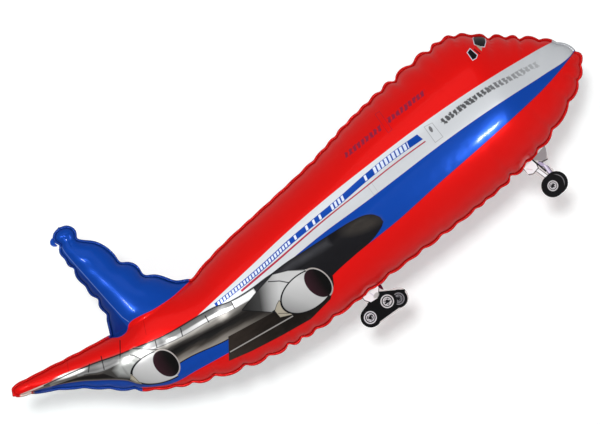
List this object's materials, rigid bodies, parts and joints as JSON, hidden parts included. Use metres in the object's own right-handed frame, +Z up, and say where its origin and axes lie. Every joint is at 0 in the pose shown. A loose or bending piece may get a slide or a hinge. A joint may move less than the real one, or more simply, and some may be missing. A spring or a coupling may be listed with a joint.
{
  "type": "airplane foil balloon",
  "caption": "Inflated airplane-shaped foil balloon with a tail fin, a sealed rim, flat landing-gear flaps and an inlet tab; it hangs in the air.",
  "frame": {"origin": "the middle of the gas, on the seam plane, which is where the air carries the balloon", "axes": "+X towards the nose, +Z up through the fin with the balloon level, +Y to the left, across the seam plane"},
  "size_m": [0.901, 0.1852, 0.3578],
  "materials": {
    "body_foil": "printed metallised film, red with blue and white bands, mirror-like under the ink",
    "fin_foil": "printed metallised film, blue",
    "seam_film": "heat-sealed metallised film, darker along the seal",
    "gear_film": "flat film printed black with grey and white wheels and struts",
    "tab_film": "plain pale film"
  },
  "bodies": {
    "root": {"right_body_foil": "body_foil", "left_body_foil": "body_foil", "right_fin_foil": "fin_foil", "left_fin_foil": "fin_foil", "seam_rim": "seam_film", "nose_gear_flap": "gear_film", "main_gear_flap": "gear_film", "inlet_tab": "tab_film"}
  },
  "joints": []
}
